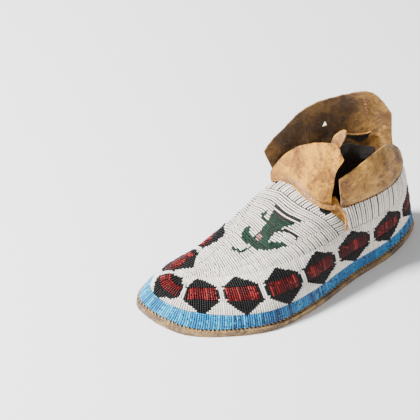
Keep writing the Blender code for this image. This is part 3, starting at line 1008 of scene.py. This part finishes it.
def ragged(grid, amount, seed):
    """Uneven cut along the last row of a grid."""
    out = grid.copy()
    for c in range(grid.shape[1]):
        bite = noise.noise(Vector((c * 0.23, seed, 0))) + 0.6 * noise.noise(Vector((c * 0.71, seed, 3)))
        step = grid[-1, c] - grid[-3, c]
        out[-1, c] += step * bite * amount
        out[-2, c] += step * bite * amount * 0.5
    return out


def hide_sheet(name, control, rows, columns, mat, thickness, seed, amplitude, size, hole=()):
    """Wrinkled sheet of hide with a ragged last edge and soft rims; its first rows stay still."""
    grid = wrinkle(smooth_grid(control, rows, columns), amplitude, size, seed, hold=0.12)
    sheet = grid_object(name, ragged(grid, 0.3, seed), False, mat, thickness, hole)
    soften(sheet, 0.4, 2, 60)
    return sheet


TONGUE = [
    [(-31, 6, 79), (-24, 12, 80.5), (-13, 19.5, 82), (2, 23, 81.5), (9, 26, 80.5), (13, 28.5, 79.5),
     (16, 31.5, 78.5), (17.5, 34, 77.8), (19, 36.5, 77)],
    [(-35, 8.5, 86), (-26, 12.5, 90), (-14, 18, 93), (1, 21.5, 93), (8, 25.5, 92), (12, 29, 90.5),
     (14.5, 31.5, 89.5), (16.2, 34, 88), (17.3, 36.5, 86.5)],
    [(-34.8, 14, 93.5), (-26.5, 18, 100), (-14, 24, 104), (1, 29, 106), (8, 33, 105), (11, 35.5, 103.5),
     (13.2, 37, 102.5), (14.5, 38.3, 101.5), (15.5, 39.5, 100)],
    [(-31.5, 20, 104.5), (-24.5, 24.5, 110), (-13.5, 30.5, 115), (0, 37, 118.5), (5, 40.5, 118.5),
     (8.5, 42, 117), (10.5, 42.5, 115.5), (12.5, 42.5, 114), (14.2, 42.5, 112)],
    [(-26, 26, 114), (-21, 30.5, 119), (-12.9, 38.4, 124.2), (-3, 44.5, 129.5), (0.5, 47.5, 131.5),
     (3.5, 49, 131.5), (6.5, 49, 130), (10, 48.5, 127.5), (13.7, 49.5, 121.8)],
]
EAR = [
    [(-2.5, 46.6, 129), (0.5, 47.6, 129.5), (3, 48.6, 129), (5.4, 49.6, 128.5)],
    [(-2.2, 48.6, 136), (1, 49.6, 137.5), (4, 51.4, 137), (6.4, 52.4, 135.4)],
    [(1.0, 50.2, 143), (3.4, 51.2, 144), (6, 52.4, 143.6), (8.2, 53.3, 142.5)],
    [(5.2, 52, 148.2), (6.4, 52.5, 149.2), (7.8, 53.1, 149.6), (8.8, 53.5, 149.2)],
]
LIP = [
    [(-29, 8, 79.5), (-15, 18.2, 82), (2, 21.5, 81.4), (10, 25.4, 79.8), (15.5, 29.6, 78.3),
     (19.5, 33.5, 77.2), (23, 37.5, 79.5)],
    [(-30, 6, 80.5), (-15.4, 16.4, 83.4), (2.6, 19.4, 82.8), (11.4, 23.4, 81.4), (17.2, 27.8, 80.4),
     (21, 32, 80), (23.6, 37, 82)],
    [(-29.6, 6.6, 82), (-15.2, 16.8, 85), (2.4, 19.9, 84.6), (11, 24, 83.4), (16.6, 28.6, 82.6),
     (20.4, 32.6, 82.2), (23.2, 37.4, 83)],
]


def tongue():
    """Tongue of thick pale hide with a torn ear and a curled lip along its seam."""
    main = hide_sheet("tongue_hide", TONGUE, 60, 90, TONGUE_HIDE, 1.6, 3.0, 0.9, 13)
    ear = hide_sheet("tongue_ear", EAR, 26, 20, TONGUE_HIDE, 1.3, 5.0, 0.3, 8)
    lip = hide_sheet("tongue_lip", LIP, 16, 80, TONGUE_HIDE, 1.0, 8.0, 0.3, 7)
    for piece in (main, ear, lip):
        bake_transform(piece)
    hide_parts("tongue")


tongue()

INNER_FLAP = [
    [(-30.6, 15, 74.8), (-29.6, 28, 75), (-28.3, 40, 75.2), (-26.8, 52.4, 75.6), (-25.1, 71.1, 76),
     (-22.1, 89.7, 76.6), (-15.9, 103.1, 78.5), (-8, 108.5, 79.6), (3, 111.8, 80.5)],
    [(-33, 11, 81), (-33, 25, 83), (-31.5, 38, 84), (-29.5, 51, 86), (-27.5, 68, 88), (-25, 86, 89),
     (-18, 102, 90), (-10, 109, 88), (-4, 112.6, 86)],
    [(-36.5, 8, 91), (-37.5, 20.5, 97), (-37, 33.5, 101), (-35, 46.5, 107), (-32, 62.5, 110),
     (-29, 82, 113), (-22, 98.5, 113), (-15, 107.5, 103), (-9.8, 112, 94)],
    [(-38.8, 5, 100), (-40.5, 16, 106.5), (-40.5, 28, 114), (-38.5, 41, 123), (-36, 57.5, 129),
     (-32, 78.5, 132), (-24.5, 94.5, 133), (-18.5, 104, 122), (-12.6, 112, 105)],
    [(-40, 3, 107), (-42, 12.5, 114.6), (-42, 24.7, 124.9), (-40, 37, 137), (-38, 53.6, 143.9),
     (-32, 76, 147.5), (-24, 90, 151.5), (-20, 101.5, 143.5), (-14.6, 112, 124.6)],
]
OUTER_FLAP = [
    [(21.9, 44.1, 74.6), (22.4, 53, 75.2), (22.9, 62.9, 75.8), (22.2, 75, 76), (20.4, 88, 76.6),
     (16.4, 99.7, 77.8), (10.5, 107.5, 79.3), (3.5, 112.2, 80.8), (-5, 110.8, 80.2)],
    [(22.3, 43.5, 82), (23.6, 53, 83), (24.2, 63, 84), (23.8, 76, 85), (21.5, 89, 85),
     (16.8, 101.5, 84.5), (11, 109.5, 84), (3, 114, 84), (-6, 113, 82.8)],
    [(20.6, 43.2, 91.5), (22.2, 53.5, 94), (22.4, 65, 97), (21.8, 77.5, 99), (18.5, 91, 98),
     (12.5, 103, 94.5), (7.5, 110.5, 90.5), (1, 114.6, 87), (-7, 114, 85.5)],
    [(18.8, 43.2, 99), (19.6, 54, 102.5), (19.2, 66, 106), (17.6, 78.5, 109.5), (14.4, 92, 108),
     (7.5, 103.5, 101), (3.5, 111, 94.5), (-1.5, 115, 90), (-8, 114.6, 88.5)],
    [(17, 43.4, 104.5), (17, 55.7, 109.5), (15.8, 67, 113.5), (14, 79, 117), (8, 92.5, 115.5),
     (1, 104, 106), (-2.5, 111, 98), (-6, 114.8, 92.5), (-9, 114.8, 90.5)],
]


# top edge and foot of a near-black sheet of painted shade low inside the inner flap; foot and top of a thin
# near-black sheet that paints the shadow under a fold of the flap
SHADE_SHEET_TOP = [(-27.8, 56, 95), (-27.6, 68, 95.6), (-26.6, 77.8, 95.3), (-24.7, 85.5, 92),
               (-21.8, 92.3, 90.2), (-18.2, 99.3, 89.4)]
SHADE_SHEET_FOOT = [(-26.4, 56, 76), (-25.4, 66, 76), (-24, 76, 76.2), (-21.6, 87, 76.8),
               (-18.5, 93.5, 77.5), (-16, 98, 78)]
FOLD_SHADOW_FOOT = [(-27.9, 76, 101.7), (-26.6, 81.2, 99.2), (-24.4, 87, 94.8), (-22.8, 92.4, 97.6),
             (-21.8, 95.7, 103)]
FOLD_SHADOW_TOP = [(-28.4, 76.2, 105.3), (-27.1, 81.3, 103.5), (-25.3, 87.1, 102.6), (-23.1, 92.6, 103.3),
            (-21.6, 96.3, 104.8)]
# rows and columns of the inner flap's mesh, and its faces that are worn away
INNER_SIZE = (56, 120)
WORN_HOLE = [(33, 56), (33, 57), (33, 58), (34, 57), (34, 58), (35, 58)]


def mend_stitches():
    """Old sinew stitches where the inner flap was pieced, near its top at the heel."""
    grid = smooth_grid(INNER_FLAP, *INNER_SIZE)
    inward = -grid_normals(grid, False)
    if inward[40, 80] @ np.array([1, 0, 0]) < 0:
        inward = -inward
    starts, ends, outs = [], [], []
    for row in range(37, 55, 3):
        a, b = grid[row, 86], grid[row + 1, 88 + row % 2]
        starts.append(a + inward[row, 86] * 0.9)
        ends.append(b + inward[row + 1, 88] * 0.9)
        outs.append(inward[row, 86])
    stitches = thread("mend_stitches", starts, ends, outs, 0.5, MEND_THREAD, overlap=1.0)
    return stitches


def cuffs():
    """Two flaps of hide that overlap at the heel; inside the inner one, near-black sheets of painted shade
    and of painted shadow under a fold, with a hide edge above the fold.
    """
    inner = hide_sheet("cuff_inner", INNER_FLAP, *INNER_SIZE, CUFF_HIDE_PAINTED_LIGHT, -1.2, 11.0, 0.8, 15, WORN_HOLE)
    outer = hide_sheet("cuff_outer", OUTER_FLAP, 46, 110, FLAP_HIDE, -1.3, 14.0, 0.8, 12)
    # near-black sheets of painted shade: one low inside the inner flap, one as the shadow under its fold
    middle = np.array(SHADE_SHEET_FOOT) * 0.45 + np.array(SHADE_SHEET_TOP) * 0.55 + (1.0, -0.5, 0)
    strip = hide_sheet("cuff_painted_shade", [SHADE_SHEET_FOOT, middle, SHADE_SHEET_TOP], 20, 60, PAINTED_SHADE_HIDE, 0.9, 17.0,
                       0.4, 9)
    fold_shadow = hide_sheet("cuff_painted_fold_shadow", [FOLD_SHADOW_FOOT, FOLD_SHADOW_TOP], 12, 40, PAINTED_SHADE_HIDE, 0.5, 17.0, 0.15, 6)
    hem_rows = np.array(FOLD_SHADOW_TOP) + np.array([[(0.0, 0.0, 0.2)], [(0.5, -0.2, 1.9)]])
    hem = hide_sheet("cuff_fold_edge", hem_rows, 6, 60, FLAP_HIDE, 1.1, 17.0, 0.1, 9)
    for piece in (inner, strip, fold_shadow, hem, mend_stitches()):
        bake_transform(piece)
    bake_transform(outer)
    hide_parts("cuff_inner_flap", "cuff_heel")
    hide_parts("cuff_outer_flap")


cuffs()


def seam_patch(side, first, last, end):
    """Bare hide between the instep strings and the quarter, below one front corner of the opening."""
    share = np.linspace(first, last, 16)
    grid = []
    for s in share:
        front = key_curve(s, INSTEP_BACK[side]) + 0.3
        p, n = crown_point(side, np.linspace(front, end, 10), np.full(10, s))
        grid.append(p + n * 0.8)
    grid = wrinkle(np.array(grid), 0.3, 6, 21.0)
    patch = grid_object(f"seam_patch_{side}", grid, False, TONGUE_HIDE, 0.7)
    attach(patch, ROOT)


seam_patch("outer", 0.02, 0.55, 34.3)
seam_patch("inner", 0.05, 0.62, 33.6)

LACE = [(2.6, -7.5, 9.5), (3.4, -6, 8), (5, -4.5, 6.8), (7.4, -3, 5), (10.4, -2, 1), (12.2, -2, -4),
        (13.3, -2.4, -8.5), (14, -3, -13)]
LACE_ORIGIN = (21.9, 44.1, 75.2)
LACE_WIDTH = 1.2
LACE_THICKNESS = 0.55
LACE_RINGS = 48
LACE_SIDES = 12


def lace():
    """The tie's end: a twisted strip of hide that hangs from the outer front corner."""
    points = np.array(LACE) + LACE_ORIGIN
    turns = np.linspace(0, len(points) - 1, LACE_RINGS)
    path = smooth_grid(points[None].repeat(2, 0), 2, LACE_RINGS)[0]
    angle = np.linspace(0, 2 * math.pi, LACE_SIDES, endpoint=False)[:, None]
    rings = []
    for k, p in enumerate(path):
        ahead = unit(path[min(k + 1, LACE_RINGS - 1)] - path[max(k - 1, 0)])
        side = unit(np.cross(ahead, [0.5, -0.3, 0.8]))
        up = np.cross(side, ahead)
        twist = 0.5 * math.sin(turns[k] * 1.3)
        wide = side * math.cos(twist) + up * math.sin(twist)
        thin = up * math.cos(twist) - side * math.sin(twist)
        width = LACE_WIDTH * (1 + 0.10 * math.sin(turns[k] * 4))
        rings.append(p + wide * np.cos(angle) * width + thin * np.sin(angle) * LACE_THICKNESS)
    faces, caps = tube_faces(LACE_RINGS, LACE_SIDES)
    mesh = bpy.data.meshes.new("lace_end")
    mesh.from_pydata((np.vstack(rings) * MM).tolist(), [], faces + caps)
    fixed(new_object("lace_end", mesh, [TONGUE_HIDE]), "smoked_hide", "tie_lace")


lace()


# ---- camera, lights and floor
def camera():
    """Long lens from the toe's outer side, 45 degrees down, as in the photograph."""
    data = bpy.data.cameras.new("camera")
    data.sensor_width = 36
    data.lens = 215.06
    data.clip_end = 20
    place = (1.30508, -0.74714, 1.56171)
    right = Vector((0.46095, 0.88742, 0.0))
    up = Vector((-0.62435, 0.32431, 0.71064))
    turn = Matrix((right, up, right.cross(up))).transposed().to_4x4()
    obj = add_object("camera", data)
    obj.matrix_world = Matrix.Translation(place) @ turn
    bpy.context.scene.camera = obj


def area_light(name, place, size, power):
    """Round soft light aimed at the middle of the shoe."""
    data = bpy.data.lights.new(name, 'AREA')
    data.shape = 'DISK'
    data.size = size
    data.energy = power
    obj = add_object(name, data)
    obj.location = place
    obj.rotation_euler = (Vector(LIGHT_AIM) - Vector(place)).to_track_quat('-Z', 'Y').to_euler()


LIGHT_AIM = (0, 0.02, 0.06)
WORLD_STRENGTH = 0.34
FLOOR_WHITE = 0.93
FLOOR_HALF = 4


def studio():
    """A strong key from the front left, a weak fill, a white surround and a pale floor."""
    area_light("key", (-0.45, -1.15, 1.45), size=0.34, power=128)
    area_light("fill", (1.6, -0.3, 1.2), size=1.2, power=9)
    world = bpy.data.worlds.new("studio")
    world.use_nodes = True
    surround = world.node_tree.nodes["Background"]
    settings(surround, {"Color": (1, 1, 1, 1), "Strength": WORLD_STRENGTH})
    bpy.context.scene.world = world
    mesh = bpy.data.meshes.new("floor")
    corners = [(x * FLOOR_HALF, y * FLOOR_HALF, 0) for x, y in ((-1, -1), (1, -1), (1, 1), (-1, 1))]
    mesh.from_pydata(corners, [], [(0, 1, 2, 3)])
    white = plain("floor_white", [FLOOR_WHITE] * 3, rough=0.9, coat=0.0)
    new_object("floor", mesh, [white], smooth=False)


camera()
studio()
